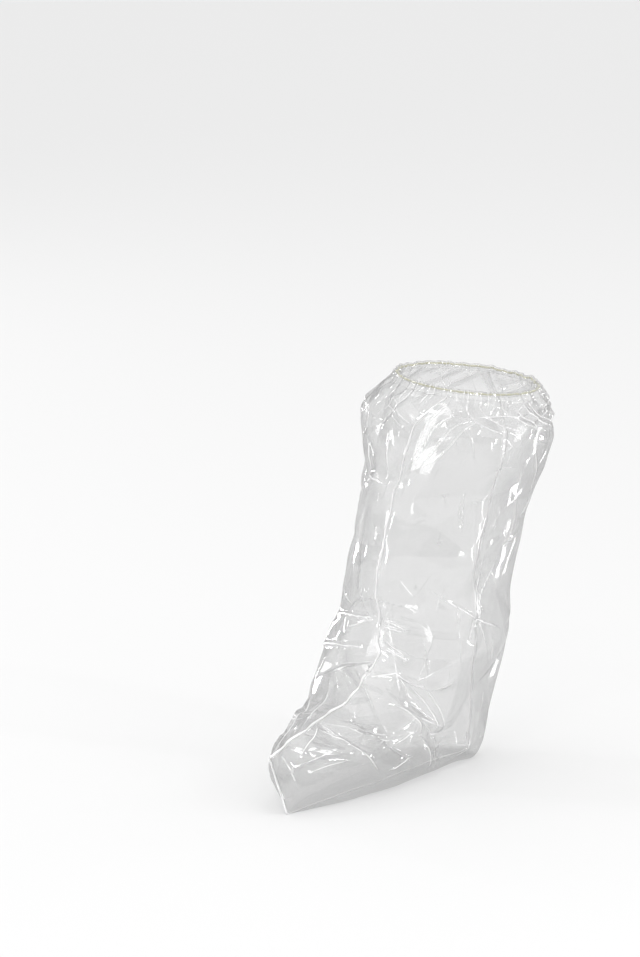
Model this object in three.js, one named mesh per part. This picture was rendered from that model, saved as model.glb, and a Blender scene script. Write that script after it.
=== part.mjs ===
// Clear film boot cover in its worn form: two films welded edge to edge into a boot-shaped bag,
// with a gathered hem over an elastic at the top. It is open at the top and hollow to the toe.
// Millimetres, +Z up, toe towards -Y, +X on the outer side of the foot.
// The tables are measured from the floor below the leg. The origin is the middle of the leg opening.
import * as THREE from 'three';

// Driving sizes
const RIM = { x: 27, y: 27, height: 412 };
const FILM = 1.0;
const GAP = 0.3;
const WELD_THICKNESS = 1.6;
const WELD_REACH = 3.0;
const WELD_GAP = 0.5;
const SEAM_OFFSET = WELD_THICKNESS / 2 + WELD_GAP;

// Lengths by which a weld stops short of the hem, the heel's corner and the toe's two corners
const HEM_TRIM = 4.0;
const HEEL_TRIM = 6.0;
const TOE_TRIM = 2.3;

// Gathered hem and its elastic
const GATHERS_PER_SIDE = 13;
const GATHER_DEPTH = 2.4;
const GATHER_UNEVEN = 0.3;
const GATHER_SWELLS = 2.5;
const GATHER_REACH = 30;
const COLUMNS_PER_GATHER = 4;
const GATHER_COLUMNS = GATHERS_PER_SIDE * COLUMNS_PER_GATHER;
const HEM_DEPTH = 9;
const HEM_INNER_DEPTH = 6;
const HEM_LEAN = 4;
const HEM_RIPPLE = 1.2;
const HEM_FOOT = RIM.height - HEM_DEPTH - GAP;
const ELASTIC = 2.4;
const ELASTIC_SIDES = 6;
const ELASTIC_STEPS = 26;
const CASING = ELASTIC + 2 * (HEM_RIPPLE * (1 + GATHER_UNEVEN) + GAP);

// Grid of the films below the gathers, and the steps that measure a section's length
const BODY_COLUMNS = 28;
const SECTION_STEPS = 64;

// Level sections of the leg, from the hem down: the middle, half depth from front to back, half widths
// to the outer (left) and inner (right) side, twist of the bag in degrees, point of the two welded edges
// (0.5 is a round oval, 1 a pointed lens), drop of the outer side, and rows down to the next section.
const LEG = [
  { x: 26, y: 26, z: HEM_FOOT, depth: 82, left: 80, right: 79, twist: 20, point: 0.50, drop: 0.10, rows: 2 },
  { x: 22, y: 21, z: 392, depth: 93, left: 90, right: 87, twist: 15, point: 0.52, drop: 0.09, rows: 2 },
  { x: 19, y: 18, z: 376, depth: 101, left: 96, right: 95, twist: 10, point: 0.56, drop: 0.07, rows: 2 },
  { x: 17, y: 17, z: 346, depth: 103, left: 97, right: 97, twist: 5, point: 0.62, drop: 0.04, rows: 1 },
  { x: 15, y: 15, z: 316, depth: 100, left: 93, right: 93, twist: 1, point: 0.66, drop: 0.02, rows: 1 },
  { x: 9, y: 9, z: 286, depth: 95, left: 88, right: 88, twist: 0, point: 0.68, drop: 0, rows: 1 },
  { x: 3, y: 2, z: 252, depth: 94, left: 87, right: 87, twist: 0, point: 0.70, drop: 0, rows: 1 },
  { x: 0, y: -4, z: 220, depth: 93, left: 87, right: 86, twist: 0, point: 0.70, drop: 0, rows: 2 },
  { x: -2, y: -6, z: 194, depth: 90, left: 84, right: 86, twist: 0, point: 0.70, drop: 0, rows: 2 },
];

// Sections of the ankle and foot, fanned round the ankle: the front seam's and the back or sole seam's
// place (x, y, z), the half width to each side with the share of the way from front to back at which it
// is reached, the point of the front and of the back edge, and rows on to the next section.
const FOOT = [
  { front: [-2, -90, 170], back: [-2, 84, 162],
    left: [82, 0.5], right: [89, 0.44], point: [0.68, 0.70], rows: 2 },
  { front: [-1, -94, 152], back: [-1, 83, 128],
    left: [78, 0.5], right: [92, 0.34], point: [0.64, 0.68], rows: 2 },
  { front: [0, -93, 138], back: [0, 79, 92],
    left: [68, 0.5], right: [95, 0.26], point: [0.60, 0.66], rows: 2 },
  { front: [0, -104, 124], back: [0, 73, 48],
    left: [54, 0.5], right: [95, 0.24], point: [0.60, 0.62], rows: 2 },
  { front: [0, -118, 113], back: [0, 62, -3],
    left: [46, 0.5], right: [93, 0.26], point: [0.64, 0.50], rows: 2 },
  { front: [0, -138, 101], back: [1, 22, -4],
    left: [44, 0.5], right: [89, 0.29], point: [0.70, 0.42], rows: 1 },
  { front: [0, -160, 91], back: [2, -26, -4],
    left: [44, 0.52], right: [82, 0.34], point: [0.75, 0.38], rows: 1 },
  { front: [-1, -186, 85], back: [4, -80, -4],
    left: [44, 0.55], right: [72, 0.40], point: [0.80, 0.38], rows: 1 },
  { front: [-2, -212, 79], back: [6, -138, -4],
    left: [41, 0.58], right: [59, 0.45], point: [0.82, 0.40], rows: 1 },
  { front: [-4, -240, 70], back: [8, -196, -4],
    left: [31, 0.58], right: [42, 0.46], point: [0.85, 0.45], rows: 2 },
  { front: [-6, -262, 61], back: [9, -244, -3],
    left: [15, 0.55], right: [20, 0.45], point: [0.9, 0.6], rows: 2 },
  { front: [-8, -274, 57], back: [10, -268, FILM],
    left: [1, 0.5], right: [1, 0.5], point: [0.9, 0.9], rows: 0 },
];

// Share of the way from the front to the back seam that is halfway
const MIDWAY = 0.5;

// The two films by the side that they are on
const OUTER = 1;
const INNER = -1;

// Main folds of the films, as lines from one place to another: a share of the way from the front to the
// back seam and a section number, with the fold's half width and its depth (outward above 0).
const FOLDS = [
  { side: OUTER, fromShare: 0.10, fromPlace: 1.4, toShare: 0.52, toPlace: 1.2, width: 9, depth: -3.0 },
  { side: OUTER, fromShare: 0.42, fromPlace: 2.2, toShare: 0.57, toPlace: 5.0, width: 10, depth: 4.5 },
  { side: OUTER, fromShare: 0.33, fromPlace: 2.4, toShare: 0.36, toPlace: 4.0, width: 9, depth: -3.5 },
  { side: OUTER, fromShare: 0.40, fromPlace: 6.0, toShare: 0.43, toPlace: 9.0, width: 11, depth: -6.0 },
  { side: OUTER, fromShare: 0.16, fromPlace: 7.3, toShare: 0.42, toPlace: 9.0, width: 10, depth: -5.0 },
  { side: OUTER, fromShare: 0.58, fromPlace: 5.9, toShare: 0.47, toPlace: 8.8, width: 10, depth: 4.5 },
  { side: OUTER, fromShare: 0.43, fromPlace: 9.0, toShare: 0.66, toPlace: 9.5, width: 10, depth: -6.0 },
  { side: OUTER, fromShare: 0.04, fromPlace: 9.1, toShare: 0.30, toPlace: 9.4, width: 8, depth: -4.5 },
  { side: OUTER, fromShare: 0.10, fromPlace: 12.3, toShare: 0.36, toPlace: 11.8, width: 8, depth: 4.0 },
  { side: OUTER, fromShare: 0.15, fromPlace: 12.5, toShare: 0.50, toPlace: 14.0, width: 9, depth: -4.5 },
  { side: OUTER, fromShare: 0.60, fromPlace: 12.3, toShare: 0.80, toPlace: 15.2, width: 9, depth: 4.0 },
  { side: OUTER, fromShare: 0.16, fromPlace: 17.8, toShare: 0.58, toPlace: 16.4, width: 9, depth: 3.5 },
  { side: OUTER, fromShare: 0.28, fromPlace: 15.6, toShare: 0.60, toPlace: 15.6, width: 9, depth: -4.0 },
  { side: INNER, fromShare: 0.22, fromPlace: 2.6, toShare: 0.15, toPlace: 4.2, width: 10, depth: -4.0 },
  { side: INNER, fromShare: 0.45, fromPlace: 2.4, toShare: 0.55, toPlace: 5.2, width: 10, depth: 4.5 },
  { side: INNER, fromShare: 0.05, fromPlace: 8.8, toShare: 0.36, toPlace: 9.4, width: 9, depth: -5.0 },
  { side: INNER, fromShare: 0.46, fromPlace: 5.8, toShare: 0.52, toPlace: 9.0, width: 11, depth: -5.5 },
  { side: INNER, fromShare: 0.52, fromPlace: 9.0, toShare: 0.78, toPlace: 9.4, width: 10, depth: -5.5 },
  { side: INNER, fromShare: 0.20, fromPlace: 10.4, toShare: 0.34, toPlace: 15.0, width: 11, depth: 4.5 },
  { side: INNER, fromShare: 0.42, fromPlace: 10.6, toShare: 0.60, toPlace: 14.0, width: 11, depth: -5.0 },
  { side: INNER, fromShare: 0.66, fromPlace: 12.0, toShare: 0.80, toPlace: 14.8, width: 9, depth: 4.0 },
  { side: INNER, fromShare: 0.22, fromPlace: 17.6, toShare: 0.56, toPlace: 16.2, width: 9, depth: 3.5 },
];
const FILM_WIDTH = 270;
const SECTION_PITCH = 31;
const SOLE_FADE = 20;

const FINISH = {
  film: { color: 0xdfe3e6, roughness: 0.15, metalness: 0 },
  weld: { color: 0xeef0f1, roughness: 0.3, metalness: 0 },
  hem: { color: 0xe4e6e4, roughness: 0.25, metalness: 0 },
  elastic: { color: 0xe9e4c4, roughness: 0.8, metalness: 0 },
};

// A leg row and a foot row become the same kind of section.
function legSection(row) {
  const turn = THREE.MathUtils.degToRad(row.twist);
  const across = new THREE.Vector3(Math.cos(turn), Math.sin(turn), -row.drop);
  const along = new THREE.Vector3(-Math.sin(turn), Math.cos(turn), 0).multiplyScalar(row.depth);
  const middle = new THREE.Vector3(row.x, row.y, row.z);
  return {
    front: middle.clone().sub(along),
    back: middle.clone().add(along),
    across,
    left: { width: row.left, at: MIDWAY },
    right: { width: row.right, at: MIDWAY },
    point: { front: row.point, back: row.point },
    rows: row.rows,
  };
}

function footSection(row) {
  const [leftWidth, leftAt] = row.left;
  const [rightWidth, rightAt] = row.right;
  const [frontPoint, backPoint] = row.point;
  return {
    front: new THREE.Vector3(...row.front),
    back: new THREE.Vector3(...row.back),
    across: new THREE.Vector3(1, 0, 0),
    left: { width: leftWidth, at: leftAt },
    right: { width: rightWidth, at: rightAt },
    point: { front: frontPoint, back: backPoint },
    rows: row.rows,
  };
}

// The section whose back point is the heel's corner on the floor
const HEEL = LEG.length + FOOT.findIndex(({ back: [, , z] }) => z <= 0);

const SECTIONS = [...LEG.map(legSection), ...FOOT.map(footSection)];
const LAST = SECTIONS.length - 1;

// Smooth curve through four neighbouring numbers
function smooth(a, b, c, d, t) {
  const rise = (c - a) / 2;
  const run = (d - b) / 2;
  const square = t * t;
  const cube = square * t;
  return (2 * cube - 3 * square + 1) * b + (cube - 2 * square + t) * rise
    + (3 * square - 2 * cube) * c + (cube - square) * run;
}

// The section at any place between two rows of the tables
function sectionAt(place) {
  const from = Math.min(Math.floor(place), LAST - 1);
  const near = [from - 1, from, from + 1, from + 2].map((i) => SECTIONS[THREE.MathUtils.clamp(i, 0, LAST)]);
  const blend = (group, name) => smooth(...near.map((section) => section[group][name]), place - from);
  const vector = (group) => new THREE.Vector3(blend(group, 'x'), blend(group, 'y'), blend(group, 'z'));
  return {
    front: vector('front'),
    back: vector('back'),
    across: vector('across'),
    left: { width: blend('left', 'width'), at: blend('left', 'at') },
    right: { width: blend('right', 'width'), at: blend('right', 'at') },
    point: { front: blend('point', 'front'), back: blend('point', 'back') },
  };
}

// One half of a section, from the front to the back seam, as points at equal lengths along it.
// The half width is (1 - q^2)^point, with q from -1 to 0 before the widest place and 0 to 1 after it.
function halfSection(section, side, columns) {
  const half = side === OUTER ? section.left : section.right;
  const trace = [];
  for (let i = 0; i <= SECTION_STEPS; i += 1) {
    const q = -Math.cos((Math.PI * i) / SECTION_STEPS);
    const point = q < 0 ? section.point.front : section.point.back;
    const share = q < 0 ? half.at * (1 + q) : half.at + (1 - half.at) * q;
    const reach = SEAM_OFFSET + half.width * Math.max(1 - q * q, 0) ** point;
    const place = section.front.clone().lerp(section.back, share);
    place.addScaledVector(section.across, side * reach);
    place.z = Math.max(place.z, FILM);
    trace.push(place);
  }
  return evenly(trace, columns);
}

// Points at equal lengths along a polyline
function evenly(trace, columns) {
  const lengths = [0];
  for (let i = 1; i < trace.length; i += 1) {
    lengths.push(lengths[i - 1] + trace[i].distanceTo(trace[i - 1]));
  }
  const total = lengths[lengths.length - 1];
  const points = [];
  let step = 1;
  for (let column = 0; column <= columns; column += 1) {
    const target = (total * column) / columns;
    while (step < trace.length - 1 && lengths[step] < target) {
      step += 1;
    }
    const part = (target - lengths[step - 1]) / (lengths[step] - lengths[step - 1]);
    points.push(trace[step - 1].clone().lerp(trace[step], part));
  }
  return points;
}

// Places of the grid's rows, counted in sections
const ROW_PLACES = SECTIONS.flatMap(({ rows }, i) => {
  return Array.from({ length: rows }, (_, row) => i + row / rows);
}).concat(LAST);

// Triangles between two rows of points that may differ in number
function stitch(upper, upperStart, lower, lowerStart) {
  const faces = [];
  let i = 0;
  let j = 0;
  while (i < upper || j < lower) {
    const nextUpper = (i + 1) / upper;
    const nextLower = (j + 1) / lower;
    if (j === lower || (i < upper && nextUpper <= nextLower)) {
      faces.push([upperStart + i, lowerStart + j, upperStart + i + 1]);
      i += 1;
    } else {
      faces.push([upperStart + i, lowerStart + j, lowerStart + j + 1]);
      j += 1;
    }
  }
  return faces;
}

// Area-weighted normals of a triangle sheet
function sheetNormals(points, faces) {
  const normals = points.map(() => new THREE.Vector3());
  faces.forEach(([a, b, c]) => {
    const normal = points[b].clone().sub(points[a]).cross(points[c].clone().sub(points[a]));
    [a, b, c].forEach((i) => normals[i].add(normal));
  });
  return normals.map((normal) => normal.normalize());
}

// A direction laid level
function level(direction) {
  return new THREE.Vector3(direction.x, direction.y, 0).normalize();
}

// A film is held at its two welds, and free between them.
function heldAtWelds(share) {
  return Math.sqrt(Math.max(Math.sin(Math.PI * share), 0));
}

// How far a gather stands out, at a share of the way round one side
function gather(share, depth) {
  const uneven = 1 + GATHER_UNEVEN * Math.sin(2 * Math.PI * GATHER_SWELLS * share);
  return heldAtWelds(share) * depth * uneven * Math.sin(2 * Math.PI * GATHERS_PER_SIDE * share);
}

// How far the folds push a film out, at a share of its width and a place along it: the farthest ridge
// there plus the deepest dent, and nothing at the two welds
function foldDepth(side, share, place) {
  const onFilm = (across, along) => new THREE.Vector3(across * FILM_WIDTH, along * SECTION_PITCH, 0);
  const here = onFilm(share, place);
  const pushes = FOLDS.filter((fold) => fold.side === side).map((fold) => {
    const line = new THREE.Line3(onFilm(fold.fromShare, fold.fromPlace), onFilm(fold.toShare, fold.toPlace));
    const away = line.closestPointToPoint(here, true, new THREE.Vector3()).distanceTo(here);
    return fold.depth * Math.exp(-((away / fold.width) ** 2));
  });
  return heldAtWelds(share) * (Math.max(0, ...pushes) + Math.min(0, ...pushes));
}

// A closed solid from its points and triangles, which are turned round where they enclose less than nothing
function solid(points, faces) {
  const volume = faces.reduce((sum, [a, b, c]) => sum + points[a].dot(points[b].clone().cross(points[c])), 0);
  const outward = volume > 0 ? faces : faces.map(([a, b, c]) => [a, c, b]);
  const geometry = new THREE.BufferGeometry().setFromPoints(points);
  geometry.setIndex(outward.flat());
  geometry.computeVertexNormals();
  return geometry;
}

// Directed edges that only one triangle uses
function sheetBorder(faces) {
  const edges = new Map();
  faces.forEach((face) => {
    face.forEach((from, i) => edges.set(`${from} ${face[(i + 1) % 3]}`, [from, face[(i + 1) % 3]]));
  });
  return [...edges.values()].filter(([from, to]) => !edges.has(`${to} ${from}`));
}

// The narrow faces that close a wall along its border
function wallEdge(border, shift) {
  return border.flatMap(([from, to]) => [[from + shift, from, to], [from + shift, to, to + shift]]);
}

// One film: the inner surface with its gathers and folds, and the outer surface a wall's thickness away
function panelGeometry(side) {
  const inner = [];
  const rows = [];
  const marks = [];
  ROW_PLACES.forEach((place) => {
    const section = sectionAt(place);
    const below = HEM_FOOT - section.front.z;
    const columns = below < GATHER_REACH ? GATHER_COLUMNS : BODY_COLUMNS;
    rows.push({ start: inner.length, columns });
    halfSection(section, side, columns).forEach((point, column) => {
      inner.push(point);
      marks.push({ share: column / columns, place, fade: Math.max(1 - below / GATHER_REACH, 0) });
    });
  });

  const sheet = [];
  rows.slice(1).forEach((row, i) => {
    sheet.push(...stitch(rows[i].columns, rows[i].start, row.columns, row.start));
  });
  const outward = side === OUTER ? sheet : sheet.map(([a, b, c]) => [a, c, b]);

  const smoothNormals = sheetNormals(inner, outward);
  inner.forEach((point, i) => {
    const { share, place, fade } = marks[i];
    const offFloor = THREE.MathUtils.clamp((point.z - FILM) / SOLE_FADE, 0, 1);
    point.addScaledVector(level(smoothNormals[i]), gather(share, GATHER_DEPTH) * fade);
    point.addScaledVector(smoothNormals[i], foldDepth(side, share, place) * offFloor);
    point.z = Math.max(point.z, FILM);
  });
  const normals = sheetNormals(inner, outward);
  for (let i = 0; i <= rows[0].columns; i += 1) {
    normals[i] = level(normals[i]);
  }
  const outer = inner.map((point, i) => point.clone().addScaledVector(normals[i], FILM));

  const shift = inner.length;
  const faces = outward.map((face) => face.map((i) => i + shift));
  faces.push(...outward.map(([a, b, c]) => [a, c, b]));
  faces.push(...wallEdge(sheetBorder(outward), shift));
  return solid([...inner, ...outer], faces);
}

// A closed or open tube of rings with equal numbers of points, capped where it is open
function tube(rings, closed) {
  const sides = rings[0].length;
  const faces = [];
  const spans = closed ? rings.length : rings.length - 1;
  for (let ring = 0; ring < spans; ring += 1) {
    const here = ring * sides;
    const next = ((ring + 1) % rings.length) * sides;
    for (let i = 0; i < sides; i += 1) {
      const j = (i + 1) % sides;
      faces.push([here + i, here + j, next + j], [here + i, next + j, next + i]);
    }
  }
  if (!closed) {
    const last = (rings.length - 1) * sides;
    for (let i = 1; i + 1 < sides; i += 1) {
      faces.push([0, i + 1, i], [last, last + i, last + i + 1]);
    }
  }
  return solid(rings.flat(), faces);
}

// A weld between the films: a thin strip along a seam, standing out from the bag by its reach.
// Each stop of the path has a point on the seam, the direction across it and a point inside the bag.
function weldGeometry(path, reach) {
  const rings = path.map(({ point, across, inside }, i) => {
    const before = path[Math.max(i - 1, 0)].point;
    const after = path[Math.min(i + 1, path.length - 1)].point;
    const out = after.clone().sub(before).cross(across).normalize();
    if (out.dot(point.clone().sub(inside)) < 0) {
      out.negate();
    }
    const half = across.clone().normalize().multiplyScalar(WELD_THICKNESS / 2);
    const root = point.clone().addScaledVector(out, -FILM);
    const edge = point.clone().addScaledVector(out, reach);
    return [root.clone().add(half), root.clone().sub(half), edge.clone().sub(half), edge.clone().add(half)];
  });
  return tube(rings, false);
}

// The path of a seam along the front or the back of the films' rows, no lower than the sole's film
function seamPath(edge, from, to) {
  return ROW_PLACES.filter((place) => place >= from && place <= to).map((place) => {
    const section = sectionAt(place);
    const point = section[edge].clone();
    point.z = Math.max(point.z, FILM);
    return { point, across: section.across, inside: section.front.clone().lerp(section.back, MIDWAY) };
  });
}

// Moves the ends of a path inwards by the given lengths
function trimmed(path, start, end) {
  const [first, second] = path;
  const [beforeLast, last] = path.slice(-2);
  const toSecond = second.point.clone().sub(first.point).setLength(start);
  const toBefore = beforeLast.point.clone().sub(last.point).setLength(end);
  first.point.add(toSecond);
  last.point.add(toBefore);
  return path;
}

// The two halves of a section as one ring, with its outward directions in the level
function sectionRing(section, columns) {
  const left = halfSection(section, OUTER, columns);
  const right = halfSection(section, INNER, columns);
  const points = [...left, ...right.reverse()];
  const shares = points.map((_, i) => (i <= columns ? i : 2 * columns + 1 - i) / columns);
  const outs = points.map((_, i) => {
    const before = points[(i + points.length - 1) % points.length];
    const after = points[(i + 1) % points.length];
    const run = after.clone().sub(before).normalize();
    return new THREE.Vector3(run.y, -run.x, 0);
  });
  return { points, shares, outs };
}

// The hem: film turned inwards over the elastic, open below, with the gathers of the film under it
function hemGeometry() {
  const ring = sectionRing(sectionAt(0), GATHER_COLUMNS);
  const rings = ring.points.map((point, i) => {
    const low = gather(ring.shares[i], GATHER_DEPTH);
    const high = gather(ring.shares[i], HEM_RIPPLE) - HEM_LEAN;
    const foot = point.clone().add(new THREE.Vector3(0, 0, GAP));
    const at = (out, up) => foot.clone().addScaledVector(ring.outs[i], out).add(new THREE.Vector3(0, 0, up));
    return [
      at(low + FILM, 0),
      at(high + FILM, HEM_DEPTH - FILM),
      at(high - CASING - FILM, HEM_DEPTH - FILM),
      at(high - CASING - FILM, HEM_DEPTH - HEM_INNER_DEPTH),
      at(high - CASING, HEM_DEPTH - HEM_INNER_DEPTH),
      at(high - CASING, HEM_DEPTH - 2 * FILM),
      at(high, HEM_DEPTH - 2 * FILM),
      at(low, 0),
    ];
  });
  return tube(rings, true);
}

// The elastic: a round ring in the middle of the casing
function elasticGeometry() {
  const ring = sectionRing(sectionAt(0), ELASTIC_STEPS);
  const middle = -HEM_LEAN - CASING / 2;
  const up = HEM_DEPTH - 2 * FILM - ELASTIC / 2;
  const rings = ring.points.map((point, i) => {
    const centre = point.clone().addScaledVector(ring.outs[i], middle).add(new THREE.Vector3(0, 0, up));
    const corners = [];
    for (let corner = 0; corner < ELASTIC_SIDES; corner += 1) {
      const turn = (2 * Math.PI * corner) / ELASTIC_SIDES;
      const spoke = ring.outs[i].clone().multiplyScalar((Math.cos(turn) * ELASTIC) / 2);
      spoke.z = (Math.sin(turn) * ELASTIC) / 2;
      corners.push(centre.clone().add(spoke));
    }
    return corners;
  });
  return tube(rings, true);
}

// The path of the toe's weld, clear of the welds above and below it
function toePath() {
  const { front, back, across } = sectionAt(LAST);
  const inside = sectionAt(LAST - 1).back;
  return trimmed([front, back].map((point) => ({ point, across, inside })), TOE_TRIM, TOE_TRIM);
}

function piece(name, geometry, finish) {
  const mesh = new THREE.Mesh(geometry, new THREE.MeshStandardMaterial(finish));
  mesh.name = name;
  return mesh;
}

function weld(name, path, reach) {
  return piece(name, weldGeometry(path, reach), FINISH.weld);
}

const cover = new THREE.Group();
cover.position.set(-RIM.x, -RIM.y, -RIM.height);
cover.add(piece('left_panel', panelGeometry(OUTER), FINISH.film));
cover.add(piece('right_panel', panelGeometry(INNER), FINISH.film));
cover.add(weld('front_seam', trimmed(seamPath('front', 0, LAST), HEM_TRIM, 0), WELD_REACH));
cover.add(weld('toe_seam', toePath(), WELD_REACH));
cover.add(weld('sole_seam', seamPath('back', HEEL, LAST), FILM));
cover.add(weld('back_seam', trimmed(seamPath('back', 0, HEEL), HEM_TRIM, HEEL_TRIM), WELD_REACH));
cover.add(piece('hem', hemGeometry(), FINISH.hem));
cover.add(piece('elastic', elasticGeometry(), FINISH.elastic));

const group = new THREE.Group();
group.add(cover);

export default group;
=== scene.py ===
"""Looks of a clear film boot cover in its worn form.

Two thin films are welded edge to edge into a boot-shaped bag. The top is turned over an elastic and gathered
by it. Tables and sizes are in millimetres, measured from the floor under the leg, as in the part's source.
Meshes are in metres, with the origin in the middle of the leg opening.
"""
import logging
import math
from dataclasses import dataclass, field
from enum import Enum, IntEnum

import bpy
import numpy as np
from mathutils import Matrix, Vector, geometry


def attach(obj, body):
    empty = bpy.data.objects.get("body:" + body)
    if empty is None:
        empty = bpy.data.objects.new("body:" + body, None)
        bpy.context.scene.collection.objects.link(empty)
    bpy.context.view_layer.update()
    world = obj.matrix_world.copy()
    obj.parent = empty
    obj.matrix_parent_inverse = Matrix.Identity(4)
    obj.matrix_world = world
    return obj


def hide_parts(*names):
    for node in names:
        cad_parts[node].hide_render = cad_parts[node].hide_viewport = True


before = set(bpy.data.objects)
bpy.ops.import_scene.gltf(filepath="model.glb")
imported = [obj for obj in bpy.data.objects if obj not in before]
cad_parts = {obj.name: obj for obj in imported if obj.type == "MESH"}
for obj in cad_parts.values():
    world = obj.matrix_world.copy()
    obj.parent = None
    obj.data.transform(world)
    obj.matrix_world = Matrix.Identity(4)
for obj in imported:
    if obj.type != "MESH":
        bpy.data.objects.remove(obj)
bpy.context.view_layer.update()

LOG = logging.getLogger("boot_cover")

MM = 0.001
RIM = np.array((27.0, 27.0, 412.0))
UP = np.array((0.0, 0.0, 1.0))
BODY = "root"


class Side(IntEnum):
    """The side of the foot that a film is on."""

    OUTER = 1
    INNER = -1


class Form(Enum):
    """The cross-section of a fold: a soft swell, or a sharp pinched line."""

    SOFT = "soft"
    SHARP = "sharp"


OUTER, INNER = Side.OUTER, Side.INNER

# Columns of a section's row: its two seams, the way across, the sides' widths and the edges' points
FRONT = slice(0, 3)
BACK = slice(3, 6)
ACROSS = slice(6, 9)
WIDTHS = {OUTER: slice(9, 11), INNER: slice(11, 13)}
POINTS = slice(13, 15)

# Sines, each with its height, rate and start in radians
Waves = tuple[tuple[float, float, float], ...]

# Form of the bag


@dataclass(frozen=True)
class LegLevel:
    """A level section of the leg.

    Its fields are the middle, half depth from front to back, half width to the outer (left) and inner (right)
    side, twist in degrees, point of the welded edges (0.5 is round, 1 a lens) and drop of the outer side.
    """

    x: float
    y: float
    z: float
    depth: float
    left: float
    right: float
    twist: float
    point: float
    drop: float

    def row(self) -> np.ndarray:
        """Works out the section's ends from its middle, depth and twist.

        Returns:
            Front (3), back (3), across (3), left and right width with place, front and back point.
        """
        turn = math.radians(self.twist)
        middle = np.array((self.x, self.y, self.z))
        along = np.array((-math.sin(turn), math.cos(turn), 0.0)) * self.depth
        across = (math.cos(turn), math.sin(turn), -self.drop)
        widths = (self.left, 0.5, self.right, 0.5, self.point, self.point)
        return np.concatenate((middle - along, middle + along, across, widths))


@dataclass(frozen=True)
class FootSection:
    """A section fanned round the ankle: its seams, width and widest place to each side, and edge points."""

    front: tuple[float, float, float]
    back: tuple[float, float, float]
    left: tuple[float, float]
    right: tuple[float, float]
    point: tuple[float, float]

    def row(self) -> np.ndarray:
        """Returns the same numbers as a leg level's row."""
        return np.concatenate((self.front, self.back, (1.0, 0.0, 0.0), self.left, self.right, self.point))


HEM_FOOT = 402.7
LEG = (
    LegLevel(26, 26, HEM_FOOT, depth=82, left=80, right=79, twist=20, point=0.50, drop=0.10),
    LegLevel(22, 21, 392, depth=93, left=90, right=87, twist=15, point=0.52, drop=0.09),
    LegLevel(19, 18, 376, depth=101, left=96, right=95, twist=10, point=0.56, drop=0.07),
    LegLevel(17, 17, 346, depth=103, left=97, right=97, twist=5, point=0.62, drop=0.04),
    LegLevel(15, 15, 316, depth=100, left=93, right=93, twist=1, point=0.66, drop=0.02),
    LegLevel(9, 9, 286, depth=95, left=88, right=88, twist=0, point=0.68, drop=0),
    LegLevel(3, 2, 252, depth=94, left=87, right=87, twist=0, point=0.70, drop=0),
    LegLevel(0, -4, 220, depth=93, left=87, right=86, twist=0, point=0.70, drop=0),
    LegLevel(-2, -6, 194, depth=90, left=84, right=86, twist=0, point=0.70, drop=0),
)
FOOT = (
    FootSection((-2, -90, 170), (-2, 84, 162), (82, 0.5), (89, 0.44), (0.68, 0.70)),
    FootSection((-1, -94, 152), (-1, 83, 128), (78, 0.5), (92, 0.34), (0.64, 0.68)),
    FootSection((0, -93, 138), (0, 79, 92), (68, 0.5), (95, 0.26), (0.60, 0.66)),
    FootSection((0, -104, 124), (0, 73, 48), (54, 0.5), (95, 0.24), (0.60, 0.62)),
    FootSection((0, -118, 113), (0, 62, -3), (46, 0.5), (93, 0.26), (0.64, 0.50)),
    FootSection((0, -138, 101), (1, 22, -4), (44, 0.5), (89, 0.29), (0.70, 0.42)),
    FootSection((0, -160, 91), (2, -26, -4), (44, 0.52), (82, 0.34), (0.75, 0.38)),
    FootSection((-1, -186, 85), (4, -80, -4), (44, 0.55), (72, 0.40), (0.80, 0.38)),
    FootSection((-2, -212, 79), (6, -138, -4), (41, 0.58), (59, 0.45), (0.82, 0.40)),
    FootSection((-4, -240, 70), (8, -196, -4), (31, 0.58), (42, 0.46), (0.85, 0.45)),
    FootSection((-6, -262, 61), (9, -244, -3), (15, 0.55), (20, 0.45), (0.9, 0.6)),
    FootSection((-8, -274, 57), (10, -268, 1), (1, 0.5), (1, 0.5), (0.9, 0.9)),
)

# Places of seams: the heel, where the back seam ends and the sole seam starts, and the gaps at hem and heel
HEEL = len(LEG) + 4
HEM_GAP = 0.1
HEEL_GAP = 0.15


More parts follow.
